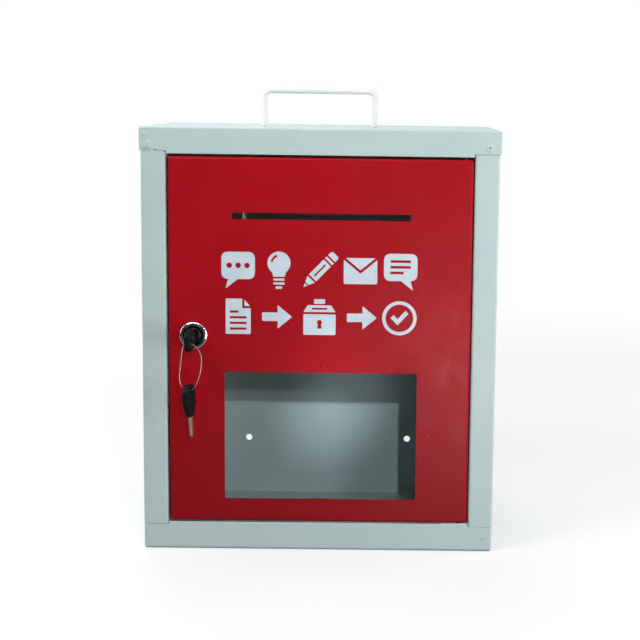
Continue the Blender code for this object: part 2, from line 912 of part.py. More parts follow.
def make_key(number, pose):
    """Key drawn from its hole towards its tip: moulded head, and a cut blade whose tang fills the neck."""
    far_end = -key_hole_inset
    neck_end = far_end + key_head_length
    upper = [(far_end + key_head_length * run, key_head_width * side) for run, side in head_outline_shares]
    lower = [(run, -side) for run, side in reversed(upper)]
    outline = rounded_outline(upper + lower, key_head_corner_radius)
    half = key_head_thickness / 2
    head = prism(f"key_{number}_head", outline, -half, half, pose, materials["black_plastic"], smooth=True)
    soften = head.modifiers.new("Soft edges", "BEVEL")
    soften.width = key_head_edge_radius
    soften.segments = 2
    soften.limit_method = "ANGLE"
    soften.angle_limit = math.radians(60)
    hole = hole_tool(
        f"cut_key_{number}_hole", (0, 0), key_hole_diameter, -half - overrun, half + overrun, pose, 20
    )
    cut_away(head, hole)

    tip = neck_end + key_blade_length
    tang = neck_end - key_tang_length
    half_width = key_blade_width / 2
    edge = [(tang, -half_width), (tip - half_width, -half_width), (tip, 0)]
    edge.append((neck_end + key_blade_length * blade_tip_share, half_width * blade_slope_share))
    for run, depth in reversed(blade_cut_shares):
        edge.append((neck_end + key_blade_length * run, half_width - key_blade_width * depth))
    edge += [(neck_end + fit_gap, half_width), (tang, half_width)]
    half_blade = key_blade_thickness / 2
    blade = prism(f"key_{number}_blade", edge, -half_blade, half_blade, pose, materials["key_steel"])
    pocket = prism(
        f"cut_key_{number}_tang",
        rectangle(tang - fit_gap, -half_width - fit_gap, neck_end + overrun, half_width + fit_gap),
        -half_blade - fit_gap,
        half_blade + fit_gap,
        pose,
        materials["black_plastic"],
    )
    cut_away(head, pocket)
    return [head, blade]


def key_1_pose():
    """Key in the lock: blade along +Y, width upright."""
    place = Matrix.Translation((lock_x, front_y + key_1_hole_depth, lock_z))
    return place @ Matrix(((0, 0, 1, 0), (1, 0, 0, 0), (0, 1, 0, 0), (0, 0, 0, 1)))


def key_2_pose():
    """Spare key: blade downwards, turned and leaning a little as it hangs on the wire."""
    place = Matrix.Translation((lock_x, front_y + key_1_hole_depth, key_2_z))
    turn = Matrix.Rotation(-key_2_lean, 4, "Y") @ Matrix.Rotation(key_2_twist, 4, "Z")
    return place @ turn @ Matrix(((0, 0, 1, 0), (0, 1, 0, 0), (-1, 0, 0, 0), (0, 0, 0, 1)))


def make_key_ring():
    """Long oval loop of wire through both key heads, bowed and skewed a little by hand."""
    middle = (ring_top_z + ring_bottom_z) / 2
    power = 2 / ring_roundness
    steps = 44
    path = []
    for step in range(steps):
        angle = math.tau * step / steps
        across = math.copysign(abs(math.sin(angle)) ** power, math.sin(angle))
        up = math.copysign(abs(math.cos(angle)) ** power, math.cos(angle))
        bow = (ring_bow + ring_skew * skew_peak_scale * up) * (1 - up * up)
        path.append((lock_x + bow + across * ring_width / 2, middle + up * ring_height / 2))
    return swept_rod(
        "key_ring", path, ring_wire_diameter, key_1_hole_depth, materials["wire"], sides=8, closed=True
    )


def hang_on_axis(name, pivot, pieces, carrier=None):
    """Puts the pieces' origins on a joint axis and parents them to an empty there."""
    pivot = Vector(pivot)
    axis = bpy.data.objects.new(name, None)
    bpy.context.scene.collection.objects.link(axis)
    axis.empty_display_size = door_depth
    axis.location = pivot
    if carrier:
        axis.parent = carrier[0]
        axis.location = pivot - carrier[1]
    for piece in pieces:
        piece.data.transform(Matrix.Translation(-pivot))
        for tool in piece.children:
            tool.location = -pivot
        piece.parent = axis
    return axis, pivot


for old in list(bpy.data.objects):
    bpy.data.objects.remove(old, do_unlink=True)

materials = {
    "body_paint": material("body_paint", 186, 205, 203, 0.42),
    "door_paint": material("door_paint", 165, 20, 32, 0.38),
    "handle_white": material("handle_white", 236, 240, 238, 0.35),
    "clear_pane": material("clear_pane", 235, 242, 245, 0.05, alpha=0.2),
    "chrome": material("chrome", 225, 226, 228, 0.08, metallic=1.0),
    "steel": material("steel", 190, 190, 186, 0.35, metallic=1.0),
    "key_steel": material("key_steel", 205, 200, 192, 0.28, metallic=1.0),
    "wire": material("wire", 200, 196, 192, 0.25, metallic=1.0),
    "black_plastic": material("black_plastic", 22, 23, 25, 0.32),
}

make_top_panel()
make_bottom_panel()
make_side_panel("left_side_panel", -1)
make_side_panel("right_side_panel", 1)
make_back_panel()
make_handle()
make_handle_fixings()
make_hinge()
make_door_stops()

door_axis = hang_on_axis(
    "door_axis",
    (hinge_x, front_y + hinge_face_distance, door_bottom),
    [
        make_door_panel(),
        make_slot_guide(),
        make_window_pane(),
        *make_pane_clips(),
        make_lock_housing(),
        make_lock_nut(),
    ],
)
lock_axis = hang_on_axis(
    "lock_axis",
    (lock_x, front_y, lock_z),
    [make_lock_plug(), make_lock_cam(), *make_cam_fixings()],
    door_axis,
)
key_1_axis = hang_on_axis(
    "key_1_axis",
    (lock_x, front_y + key_1_hole_depth, lock_z),
    make_key(1, key_1_pose()),
    lock_axis,
)
ring_axis = hang_on_axis(
    "ring_axis",
    (lock_x, front_y + key_1_hole_depth, lock_z),
    [make_key_ring()],
    key_1_axis,
)
hang_on_axis(
    "key_2_axis",
    (lock_x, front_y + key_1_hole_depth, key_2_z),
    make_key(2, key_2_pose()),
    ring_axis,
)
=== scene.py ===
"""Looks of a sheet-steel suggestion box: paint, metal, clear pane, pictograms, studio light and camera.

Metres, +Z up, the door faces -Y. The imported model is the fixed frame, and every new piece rides on it.
"""

import json
import math

import bmesh
import bpy
from mathutils import Matrix, Vector, noise


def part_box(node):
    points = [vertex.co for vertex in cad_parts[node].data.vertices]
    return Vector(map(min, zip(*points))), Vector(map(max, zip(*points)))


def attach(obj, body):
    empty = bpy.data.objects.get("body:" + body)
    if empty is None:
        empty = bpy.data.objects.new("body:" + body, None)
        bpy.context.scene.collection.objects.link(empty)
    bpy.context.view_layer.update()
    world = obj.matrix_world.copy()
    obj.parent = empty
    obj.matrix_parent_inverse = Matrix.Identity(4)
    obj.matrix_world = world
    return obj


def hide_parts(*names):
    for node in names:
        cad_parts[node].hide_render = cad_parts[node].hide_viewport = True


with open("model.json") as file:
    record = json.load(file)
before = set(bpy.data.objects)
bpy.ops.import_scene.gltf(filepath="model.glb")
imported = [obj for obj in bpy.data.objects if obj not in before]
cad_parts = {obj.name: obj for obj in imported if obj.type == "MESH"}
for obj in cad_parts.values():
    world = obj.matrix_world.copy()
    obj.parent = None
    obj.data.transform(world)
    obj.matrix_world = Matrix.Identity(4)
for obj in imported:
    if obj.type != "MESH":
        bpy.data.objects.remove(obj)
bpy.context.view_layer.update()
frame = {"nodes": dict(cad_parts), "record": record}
nodes = frame["nodes"]

MM = 0.001

# The door's front, read from the frame
door_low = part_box("door_panel")[0]
front_y = door_low.y

# Camera: focal length and middle of the view in pixels of a 640 pixel square frame
FRAME_PIXELS = 640
FOCAL_PIXELS = 1182.6
CENTRE_PIXELS = (401.4, 234.6)
SENSOR_MM = 36.0
NEAREST_SEEN = 0.01
camera_place = Vector((0.0598, front_y - 0.9767, 0.3861))
camera_yaw = math.radians(-0.461)
camera_pitch = math.radians(6.595)
camera_roll = math.radians(0.816)


def linear(channel):
    """One colour channel from screen value to linear light."""
    value = channel / 255
    return value / 12.92 if value <= 0.04045 else ((value + 0.055) / 1.055) ** 2.4


def colour(red, green, blue):
    return (linear(red), linear(green), linear(blue), 1.0)


class Graph:
    """Short way to add and join the nodes of one node tree."""

    def __init__(self, tree):
        self.tree = tree

    def add(self, kind, **values):
        node = self.tree.nodes.new(kind)
        for key, value in values.items():
            setattr(node, key, value)
        return node

    def join(self, source, target):
        self.tree.links.new(source, target)

    def spread(self, value, low, high, to_low=0.0, to_high=1.0, kind="LINEAR"):
        """Maps one range of a value to another, clamped."""
        node = self.add("ShaderNodeMapRange", interpolation_type=kind)
        node.inputs["From Min"].default_value = low
        node.inputs["From Max"].default_value = high
        node.inputs["To Min"].default_value = to_low
        node.inputs["To Max"].default_value = to_high
        self.join(value, node.inputs["Value"])
        return node.outputs["Result"]

    def mix(self, factor, first, second):
        """Colour between two colours or outputs."""
        node = self.add("ShaderNodeMix", data_type="RGBA")
        self.join(factor, node.inputs[0])
        for index, item in ((6, first), (7, second)):
            if isinstance(item, tuple):
                node.inputs[index].default_value = item
            else:
                self.join(item, node.inputs[index])
        return node.outputs[2]

    def blend(self, factor, first, second):
        """Shader between two shaders."""
        node = self.add("ShaderNodeMixShader")
        for socket, source in zip(node.inputs, (factor, first, second)):
            self.join(source, socket)
        return node.outputs["Shader"]

    def result(self, operation, *values):
        """One operation on outputs or numbers."""
        node = self.add("ShaderNodeMath", operation=operation)
        for socket, value in zip(node.inputs, values):
            if isinstance(value, float):
                socket.default_value = value
            else:
                self.join(value, socket)
        return node.outputs[0]

    def axis(self, vector, name):
        split = self.add("ShaderNodeSeparateXYZ")
        self.join(vector, split.inputs["Vector"])
        return split.outputs[name]

    def seen(self):
        """1 where the camera looks, straight or through the pane, and 0 for light and mirror images."""
        rays = self.add("ShaderNodeLightPath").outputs
        return self.result("MAXIMUM", rays["Is Camera Ray"], rays["Is Transmission Ray"])


class Nodes(Graph):
    """Nodes of one new material."""

    def __init__(self, name):
        self.material = bpy.data.materials.new(name)
        self.material.use_nodes = True
        super().__init__(self.material.node_tree)
        self.shader = self.tree.nodes["Principled BSDF"]
        self.place = self.add("ShaderNodeTexCoord").outputs["Object"]

    def noise(self, scale, detail=3.0, roughness=0.55, stretch=None):
        """Noise value in the part's own space; stretch scales the space first."""
        node = self.add("ShaderNodeTexNoise")
        node.inputs["Scale"].default_value = scale
        node.inputs["Detail"].default_value = detail
        node.inputs["Roughness"].default_value = roughness
        source = self.place
        if stretch:
            mapping = self.add("ShaderNodeMapping")
            mapping.inputs["Scale"].default_value = stretch
            self.join(source, mapping.inputs["Vector"])
            source = mapping.outputs["Vector"]
        self.join(source, node.inputs["Vector"])
        return node.outputs["Fac"]

    def facing(self, name):
        """How squarely a face looks along one axis, either way."""
        normal = self.add("ShaderNodeTexCoord").outputs["Normal"]
        return self.result("ABSOLUTE", self.axis(normal, name))

    def plus(self, first, second, share):
        """First value plus a share of the second."""
        return self.result("MULTIPLY_ADD", second, share, first)

    def tint(self, factor, first, second):
        """Base colour between two colours or outputs."""
        self.join(self.mix(factor, first, second), self.shader.inputs["Base Color"])

    def roughness(self, texture, low, high, start=0.3, end=0.7):
        """Roughness from low to high, as a texture goes from start to end."""
        self.join(self.spread(texture, start, end, low, high), self.shader.inputs["Roughness"])

    def bump(self, height, distance):
        node = self.add("ShaderNodeBump")
        node.inputs["Strength"].default_value = 1.0
        node.inputs["Distance"].default_value = distance
        self.join(height, node.inputs["Height"])
        self.join(node.outputs["Normal"], self.shader.inputs["Normal"])

    def fix(self, name, value):
        """Sets one input of the shader itself."""
        self.shader.inputs[name].default_value = value


# Heights in a piece's own space where painted shade, darker towards the bottom, starts and is full, and how
# far they waver
PAINTED_SHADE_START = 0.215
PAINTED_SHADE_FULL = 0.060
PAINTED_SHADE_WAVE = 0.03

# Share of fine grain in the paint's orange peel
FINE_PEEL_SHARE = 0.18


def powder_coat(name, main, cool, stain, rough, gloss, low=None):
    """Sprayed and baked paint: cloudy colour, faint stains, orange peel, and, when a low colour is given,
    painted shade darker towards the bottom.
    """
    made = Nodes(name)
    cloud = made.spread(made.noise(scale=9.0, detail=2.0), low=0.35, high=0.65)
    base = made.mix(cloud, main, cool)
    # Painted shade: the colour turns to the low colour towards the bottom of the piece
    if low:
        shade_height = made.plus(made.axis(made.place, "Z"), made.noise(scale=6.0, detail=2.0), PAINTED_SHADE_WAVE)
        base = made.mix(made.spread(shade_height, PAINTED_SHADE_START, PAINTED_SHADE_FULL), base, low)
    patches = made.noise(scale=34.0, detail=5.0, roughness=0.7)
    made.tint(made.spread(patches, low=0.60, high=0.80, to_high=0.35), base, stain)
    peel = made.noise(scale=420.0, detail=1.5, roughness=0.4)
    fine = made.noise(scale=2300.0, detail=1.0)
    made.bump(made.plus(peel, fine, FINE_PEEL_SHARE), distance=0.00011)
    made.roughness(made.noise(scale=60.0), *rough)
    made.fix("Specular IOR Level", gloss)
    return made.material


def plated_steel(name, main, dull, rough, stretch):
    """Zinc or nickel plate with fine drawn lines and a few dull patches."""
    made = Nodes(name)
    drawn_lines = made.noise(scale=900.0, detail=2.0, roughness=0.5, stretch=stretch)
    patches = made.noise(scale=120.0, detail=4.0, roughness=0.65)
    made.tint(made.spread(patches, low=0.45, high=0.75), main, dull)
    made.roughness(drawn_lines, *rough)
    made.bump(drawn_lines, distance=0.00002)
    made.fix("Metallic", 1.0)
    return made.material


def chrome_plate():
    """Bright plate with a few hair scratches and finger haze."""
    made = Nodes("chrome_plate")
    haze = made.noise(scale=150.0, detail=4.0, roughness=0.6)
    made.roughness(haze, 0.05, 0.16, start=0.45, end=0.75)
    tone = made.spread(made.noise(scale=60.0, detail=2.0), low=0.3, high=0.7)
    made.tint(tone, colour(226, 227, 229), colour(206, 208, 212))
    scratches = made.noise(scale=700.0, detail=2.0, roughness=0.5, stretch=(1.0, 1.0, 0.15))
    made.bump(scratches, distance=0.000006)
    made.fix("Metallic", 1.0)
    return made.material


def nickel_painted_dark_reflection():
    """Lock face and plug: plate darkened as painted reflection of the dark room that a chrome face mirrors,
    with hair scratches round the keyway.
    """
    made = Nodes("nickel_painted_dark_reflection")
    scratches = made.noise(scale=1100.0, detail=2.0, roughness=0.5, stretch=(1.0, 1.0, 0.3))
    tone = made.spread(made.noise(scale=220.0), low=0.35, high=0.7)
    made.tint(tone, colour(84, 86, 92), colour(66, 68, 74))
    made.roughness(scratches, 0.10, 0.24)
    made.bump(scratches, distance=0.000008)
    made.fix("Metallic", 1.0)
    return made.material


def guide_with_painted_shade():
    """Slot guide: its ramp is painted near black as shade, and its upright cheeks carry the grey paint."""
    made = Nodes("guide_coat_painted_shade")
    upright = made.spread(made.facing("X"), low=0.4, high=0.7)
    cloud = made.spread(made.noise(scale=70.0), low=0.35, high=0.65)
    # Painted shade: near-black colour for the ramp behind the slot
    dark = made.mix(cloud, colour(11, 12, 13), colour(7, 8, 9))
    pale = made.mix(cloud, colour(206, 214, 211), colour(190, 200, 198))
    made.tint(upright, dark, pale)
    made.roughness(made.noise(scale=160.0), 0.45, 0.62)
    made.bump(made.noise(scale=600.0, detail=2.0), distance=0.00006)
    made.fix("Specular IOR Level", 0.25)
    return made.material


def moulded_plastic():
    """Black key head: fine spark texture, greyer where fingers polish it."""
    made = Nodes("moulded_black")
    worn = made.spread(made.noise(scale=110.0), low=0.42, high=0.75)
    made.tint(worn, colour(12, 13, 15), colour(24, 26, 28))
    made.roughness(made.noise(scale=260.0), 0.50, 0.68)
    made.bump(made.noise(scale=3200.0, detail=2.0), distance=0.00004)
    made.fix("Specular IOR Level", 0.12)
    return made.material


# How much the pane's sawn edges hide
SAWN_EDGE_COVER = 0.5


def clear_sheet():
    """Cast acrylic pane with a faint film of dust and wiping marks, whose bluish tone is partly painted sheen
    that tints the view into the box; its sawn edges are duller.
    """
    made = Nodes("clear_acrylic")
    sawn = made.spread(made.facing("Y"), low=0.9, high=0.4)
    film = made.noise(scale=26.0, detail=5.0, roughness=0.65, stretch=(1.0, 1.0, 3.5))
    # Partly painted sheen: the film's bluish tone tints the view into the box
    made.tint(made.spread(film, low=0.4, high=0.7), colour(176, 196, 208), colour(150, 168, 178))
    made.roughness(film, 0.03, 0.12, start=0.35, end=0.75)
    haze = made.spread(film, low=0.35, high=0.8, to_low=0.004, to_high=0.016)
    made.join(made.plus(haze, sawn, SAWN_EDGE_COVER), made.shader.inputs["Alpha"])
    return made.material


def vinyl_white():
    """Cut white film on the door, a little uneven in tone."""
    made = Nodes("white_film")
    tone = made.spread(made.noise(scale=70.0), low=0.35, high=0.7)
    made.tint(tone, colour(206, 220, 229), colour(196, 211, 221))
    made.roughness(made.noise(scale=45.0, detail=2.0), 0.42, 0.55)
    made.bump(made.noise(scale=900.0, detail=1.0), distance=0.00003)
    return made.material


materials = {
    "body_paint": powder_coat(
        "grey_powder_coat",
        main=colour(189, 207, 204),
        cool=colour(182, 202, 201),
        stain=colour(171, 189, 186),
        rough=(0.46, 0.60),
        gloss=0.22,
    ),
    "door_paint": powder_coat(
        "red_powder_coat",
        main=colour(170, 14, 27),
        cool=colour(162, 13, 25),
        stain=colour(148, 15, 25),
        rough=(0.36, 0.50),
        gloss=0.11,
        # Painted shade: the door's red darkens towards the bottom, where less light falls
        low=colour(141, 15, 24),
    ),
    "handle_white": powder_coat(
        "white_powder_coat",
        main=colour(233, 234, 230),
        cool=colour(226, 229, 225),
        stain=colour(214, 216, 212),
        rough=(0.40, 0.52),
        gloss=0.25,
    ),
    "clear_pane": clear_sheet(),
    "chrome": chrome_plate(),
    "steel": plated_steel(
        "zinc_plate",
        main=colour(190, 190, 186),
        dull=colour(160, 160, 156),
        rough=(0.26, 0.44),
        stretch=(1.0, 1.0, 0.2),
    ),
    "key_steel": plated_steel(
        "nickel_plate",
        main=colour(220, 205, 194),
        dull=colour(196, 182, 171),
        rough=(0.34, 0.50),
        stretch=(1.0, 1.0, 0.1),
    ),
    "wire": plated_steel(
        "drawn_wire",
        main=colour(160, 146, 142),
        dull=colour(138, 126, 122),
        rough=(0.36, 0.50),
        stretch=(1.0, 1.0, 1.0),
    ),
    "black_plastic": moulded_plastic(),
    "white_film": vinyl_white(),
    # Lock face and plug: plate darkened as painted reflection of the dark room
    "nickel_painted_dark_reflection": nickel_painted_dark_reflection(),
    "guide_coat_painted_shade": guide_with_painted_shade(),
    # Pits: dark grey paint as painted shade of a hollow
    "worn_seam": powder_coat(
        "pit_shade_paint",
        main=colour(112, 122, 122),
        cool=colour(96, 106, 107),
        stain=colour(84, 92, 93),
        rough=(0.55, 0.70),
        gloss=0.2,
    ),
    # Hinge pins: dark, dull steel as painted shade, so the pins stay dark in the door's top gap
    "pin_steel_painted_shade": plated_steel(
        "pin_steel_painted_shade",
        main=colour(72, 70, 66),
        dull=colour(52, 50, 47),
        rough=(0.50, 0.65),
        stretch=(1.0, 1.0, 0.2),
    ),
}

# Nodes whose surface differs from their slot's usual one
own_surface = {
    # Lock plug: plate darkened as painted reflection of the dark room
    "lock_plug": "nickel_painted_dark_reflection",
    # Slot guide: its ramp is painted near black as shade
    "slot_guide": "guide_coat_painted_shade",
    # Hinge pins: dark steel as painted shade in the door's top gap
    "hinge_pin_upper": "pin_steel_painted_shade",
    "hinge_pin_lower": "pin_steel_painted_shade",
}

# Edge rounding by material slot, and for the slots that aren't named
edge_rounding = {"body_paint": 0.00025, "door_paint": 0.00025, "handle_white": 0.0002, "clear_pane": 0.0004}
SMALL_ROUNDING = 0.00012
ROUNDING_STEPS = 2

# Angles between faces from which an edge is rounded or shaded sharp, and the widest gap of joined facets
ROUNDED_FROM = math.radians(38)
SHARP_FROM = math.radians(40)
FACET_GAP = 0.000005


def dress(node):
    """Gives one CAD node its slot's material, smooth shading and softly rounded edges."""
    piece = nodes[node]
    slot = next(item["material_slot"] for item in frame["record"]["subparts"] if item["node"] == node)
    piece.data.materials.clear()
    piece.data.materials.append(materials[own_surface.get(node, slot)])
    if "custom_normal" in piece.data.attributes:
        piece.data.attributes.remove(piece.data.attributes["custom_normal"])
    piece.data.shade_smooth()
    weld = piece.modifiers.new("Join facets", "WELD")
    weld.merge_threshold = FACET_GAP
    bevel = piece.modifiers.new("Round edges", "BEVEL")
    bevel.width = edge_rounding.get(slot, SMALL_ROUNDING)
    bevel.segments = ROUNDING_STEPS
    bevel.limit_method = "ANGLE"
    bevel.angle_limit = ROUNDED_FROM
    bevel.harden_normals = True
    normals = piece.modifiers.new("Flat faces", "WEIGHTED_NORMAL")
    normals.keep_sharp = False


for node in nodes:
    dress(node)


def new_piece(name, mesh_data, surface, body):
    """Links a finished bmesh as a piece that rides on a body."""
    mesh = bpy.data.meshes.new(name)
    bmesh.ops.recalc_face_normals(mesh_data, faces=mesh_data.faces)
    mesh_data.to_mesh(mesh)
    mesh_data.free()
    mesh.shade_smooth()
    mesh.set_sharp_from_angle(angle=SHARP_FROM)
    made = bpy.data.objects.new(name, mesh)
    made.data.materials.append(surface)
    bpy.context.scene.collection.objects.link(made)
    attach(made, body)
    return made


def turned_mesh(profile, segments):
    """Mesh of (radius, depth) points spun about the Y axis; closed at the axis or back to the first point."""
    drawing = bmesh.new()
    rings = []
    for radius, depth in profile:
        count = segments if radius > 0 else 1
        ring = []
        for index in range(count):
            angle = math.tau * index / segments
            ring.append(drawing.verts.new((radius * math.cos(angle), depth, radius * math.sin(angle))))
        rings.append(ring)
    pairs = list(zip(rings, rings[1:]))
    if profile[0][0] > 0 and profile[-1][0] > 0:
        pairs.append((rings[-1], rings[0]))
    for first, second in pairs:
        for index in range(segments):
            after = (index + 1) % segments
            corners = []
            for ring, place in ((first, index), (first, after), (second, after), (second, index)):
                corner = ring[place % len(ring)]
                if corner not in corners:
                    corners.append(corner)
            drawing.faces.new(corners)
    bmesh.ops.recalc_face_normals(drawing, faces=drawing.faces)
    return drawing


def block_mesh(low, high):
    """Cutting block between two corners."""
    drawing = bmesh.new()
    bmesh.ops.create_cube(drawing, size=1.0)
    bmesh.ops.scale(drawing, verts=drawing.verts, vec=Vector(high) - Vector(low))
    bmesh.ops.translate(drawing, verts=drawing.verts, vec=(Vector(low) + Vector(high)) / 2)
    return drawing


def combined(base, tool, operation):
    """Mesh of a base cut by a tool, or limited to it."""
    shapes = []
    for drawing in (base, tool):
        mesh = bpy.data.meshes.new("shape")
        drawing.to_mesh(mesh)
        drawing.free()
        shape = bpy.data.objects.new("shape", mesh)
        bpy.context.scene.collection.objects.link(shape)
        shapes.append(shape)
    cut = shapes[0].modifiers.new("cut", "BOOLEAN")
    cut.operation = operation
    cut.solver = "EXACT"
    cut.object = shapes[1]
    result = bmesh.new()
    result.from_object(shapes[0], bpy.context.evaluated_depsgraph_get())
    for shape in shapes:
        mesh = shape.data
        bpy.data.objects.remove(shape)
        bpy.data.meshes.remove(mesh)
    return result


def thread_profile(radius, start, end, pitch, depth):
    """Points of a thread's grooves between two depths."""
    points = []
    count = int(abs(end - start) / pitch)
    step = (end - start) / count
    for index in range(count):
        points.append((radius - depth, start + step * index))
        points.append((radius, start + step * (index + 0.5)))
    points.append((radius - depth, end))
    return points


# Lock: bright rounded rim, dished face in a plate darkened as painted reflection, threaded barrel with two
# flats, chamfered nut.
# Profile points are (radius, depth), and depths count from the door's front.
lock_face = Vector((-0.1054, front_y, 0.1858))
LOCK_SEGMENTS = 96
BORE_RADIUS = 0.00655
DISH_RADIUS = 0.0087
DISH_FRONT = 0.0010
RIM_RADIUS = 0.01175
BARREL_RADIUS = 0.0095
BARREL_END = 0.015
BARREL_CHAMFER = 0.0006
BARREL_HALF_FLATS = 0.00825
SEAT_GAP = 0.0003
PLAIN_NECK_END = 0.0012
THREAD_START = 0.0015
THREAD_RUN_OUT = 0.0004
THREAD_PITCH = 0.0010
THREAD_DEPTH = 0.00035
FLAT_TOOL_REACH = 0.012
FLAT_TOOL_OVERRUN = 0.001
LOCK_FACE_PROFILE = [
    (BORE_RADIUS, -0.00120),
    (0.0082, -0.00126),
    (DISH_RADIUS, -0.00140),
    (0.0089, -0.00175),
    (0.0091, -0.00214),
    (0.0094, -0.00234),
    (0.0098, -0.00240),
    (0.0102, -0.00236),
    (0.0106, -0.00224),
    (0.0110, -0.00200),
    (0.01135, -0.00168),
    (0.01157, -0.00140),
    (0.01170, -0.00108),
    (RIM_RADIUS, -0.00070),
]


def make_lock_housing():
    """Housing turned from its profile, with two flats cut along the barrel."""
    profile = LOCK_FACE_PROFILE + [
        (RIM_RADIUS, -SEAT_GAP),
        (BARREL_RADIUS, -SEAT_GAP),
        (BARREL_RADIUS, PLAIN_NECK_END),
    ]
    thread_end = BARREL_END - THREAD_RUN_OUT
    profile += thread_profile(BARREL_RADIUS, THREAD_START, thread_end, THREAD_PITCH, THREAD_DEPTH)
    profile += [(BARREL_RADIUS - BARREL_CHAMFER, BARREL_END), (BORE_RADIUS, BARREL_END)]
    drawing = turned_mesh(profile, LOCK_SEGMENTS)
    for side in (-1, 1):
        left, right = sorted((side * BARREL_HALF_FLATS, side * FLAT_TOOL_REACH))
        low = (left, -SEAT_GAP, -FLAT_TOOL_REACH)
        high = (right, BARREL_END + FLAT_TOOL_OVERRUN, FLAT_TOOL_REACH)
        drawing = combined(drawing, block_mesh(low, high), "DIFFERENCE")
    bmesh.ops.translate(drawing, verts=drawing.verts, vec=lock_face)
    made = new_piece("lock_rim_and_barrel", drawing, materials["chrome"], "door")
    # The dished face takes the darkened plate, a painted dark reflection
    made.data.materials.append(materials["nickel_painted_dark_reflection"])
    for face in made.data.polygons:
        from_axis = face.center - Vector((lock_face.x, face.center.y, lock_face.z))
        if from_axis.length < DISH_RADIUS and face.center.y < front_y - DISH_FRONT:
            face.material_index = 1
    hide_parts("lock_housing")


# Hexagonal nut on the barrel
NUT_SIDES = 6
NUT_HALF_FLATS = 0.012
NUT_CHAMFER = 0.0006
NUT_CHAMFER_LENGTH = NUT_CHAMFER * 1.6
NUT_FACE_RADIUS = NUT_HALF_FLATS - NUT_CHAMFER / 3
NUT_FACE_SLACK = SEAT_GAP / 3
NUT_BORE_RADIUS = 0.0098
NUT_BORE_CHAMFER = NUT_CHAMFER / 2


def make_lock_nut():
    """Hexagon limited by a turned shape, which chamfers its corners and opens its bore."""
    low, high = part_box("lock_nut")
    corner = NUT_HALF_FLATS * 2 / math.sqrt(3)
    start = low.y - front_y
    end = high.y - front_y
    drawing = bmesh.new()
    outline = []
    for index in range(NUT_SIDES):
        angle = math.tau * index / NUT_SIDES
        outline.append(drawing.verts.new((corner * math.cos(angle), start, corner * math.sin(angle))))
    pulled = bmesh.ops.extrude_face_region(drawing, geom=[drawing.faces.new(outline)])
    tops = [item for item in pulled["geom"] if isinstance(item, bmesh.types.BMVert)]
    bmesh.ops.translate(drawing, verts=tops, vec=(0, end - start, 0))
    bmesh.ops.recalc_face_normals(drawing, faces=drawing.faces)
    limits = [
        (NUT_BORE_RADIUS + NUT_BORE_CHAMFER, start - NUT_FACE_SLACK),
        (NUT_FACE_RADIUS, start - NUT_FACE_SLACK),
        (corner + NUT_CHAMFER, start + NUT_CHAMFER_LENGTH),
        (corner + NUT_CHAMFER, end - NUT_CHAMFER_LENGTH),
        (NUT_FACE_RADIUS, end + NUT_FACE_SLACK),
        (NUT_BORE_RADIUS + NUT_BORE_CHAMFER, end + NUT_FACE_SLACK),
        (NUT_BORE_RADIUS, end - NUT_BORE_CHAMFER),
        (NUT_BORE_RADIUS, start + NUT_BORE_CHAMFER),
    ]
    drawing = combined(drawing, turned_mesh(limits, LOCK_SEGMENTS), "INTERSECT")
    bmesh.ops.translate(drawing, verts=drawing.verts, vec=lock_face)
    made = new_piece("chamfered_nut", drawing, materials["steel"], "door")
    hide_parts("lock_nut")


# Pan head screws: outline of the head in shares of its radius and height, thread and cross recess
PAN_HEAD_SHARES = ((0, 0), (0.55, 0.03), (0.80, 0.16), (0.94, 0.38), (1, 0.68), (0.99, 1))
CAM_SCREW_HEAD = 0.0025
HANDLE_SCREW_HEAD = 0.0022
SCREW_SEGMENTS = 48
SCREW_SHANK_RADIUS = 0.0016
SCREW_NECK = 0.0003
SCREW_THREAD_PITCH = 0.0007
SCREW_THREAD_DEPTH = 0.0002
SCREW_TIP = 0.0004
SCREW_TIP_RADIUS = SCREW_SHANK_RADIUS * 0.6
RECESS_WIDTH_SHARE = 0.15
RECESS_REACH_SHARE = 0.62
RECESS_DEPTH_SHARE = 0.62
RECESS_OVERRUN = 0.001


def make_pan_screw(name, node, head_way, head_height, body):
    """Cross-recess pan head screw in the place of a plain one; head_way is the axis out of the head."""
    low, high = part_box(node)
    middle = (low + high) / 2
    way = Vector(head_way)
    length = abs((high - low).dot(way))
    radius = max(high[axis] - low[axis] for axis in range(3) if not way[axis]) / 2
    shank = SCREW_SHANK_RADIUS
    profile = [(radius * out, -head_height * down) for out, down in PAN_HEAD_SHARES]
    profile.append((shank, -head_height))
    thread_start = -head_height - SCREW_NECK
    thread_end = -length + SCREW_TIP
    profile += thread_profile(shank, thread_start, thread_end, SCREW_THREAD_PITCH, SCREW_THREAD_DEPTH)
    profile += [(SCREW_TIP_RADIUS, -length), (0, -length)]
    drawing = turned_mesh(profile, SCREW_SEGMENTS)
    half_width = radius * RECESS_WIDTH_SHARE
    reach = radius * RECESS_REACH_SHARE
    depth = head_height * RECESS_DEPTH_SHARE
    for wide, tall in ((half_width, reach), (reach, half_width)):
        recess = block_mesh((-wide, -depth, -tall), (wide, RECESS_OVERRUN, tall))
        drawing = combined(drawing, recess, "DIFFERENCE")
    turn = Vector((0, 1, 0)).rotation_difference(way).to_matrix().to_4x4()
    head_top = middle + way * (length / 2)
    drawing.transform(Matrix.Translation(head_top) @ turn)
    made = new_piece(name, drawing, materials["steel"], body)
    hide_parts(node)


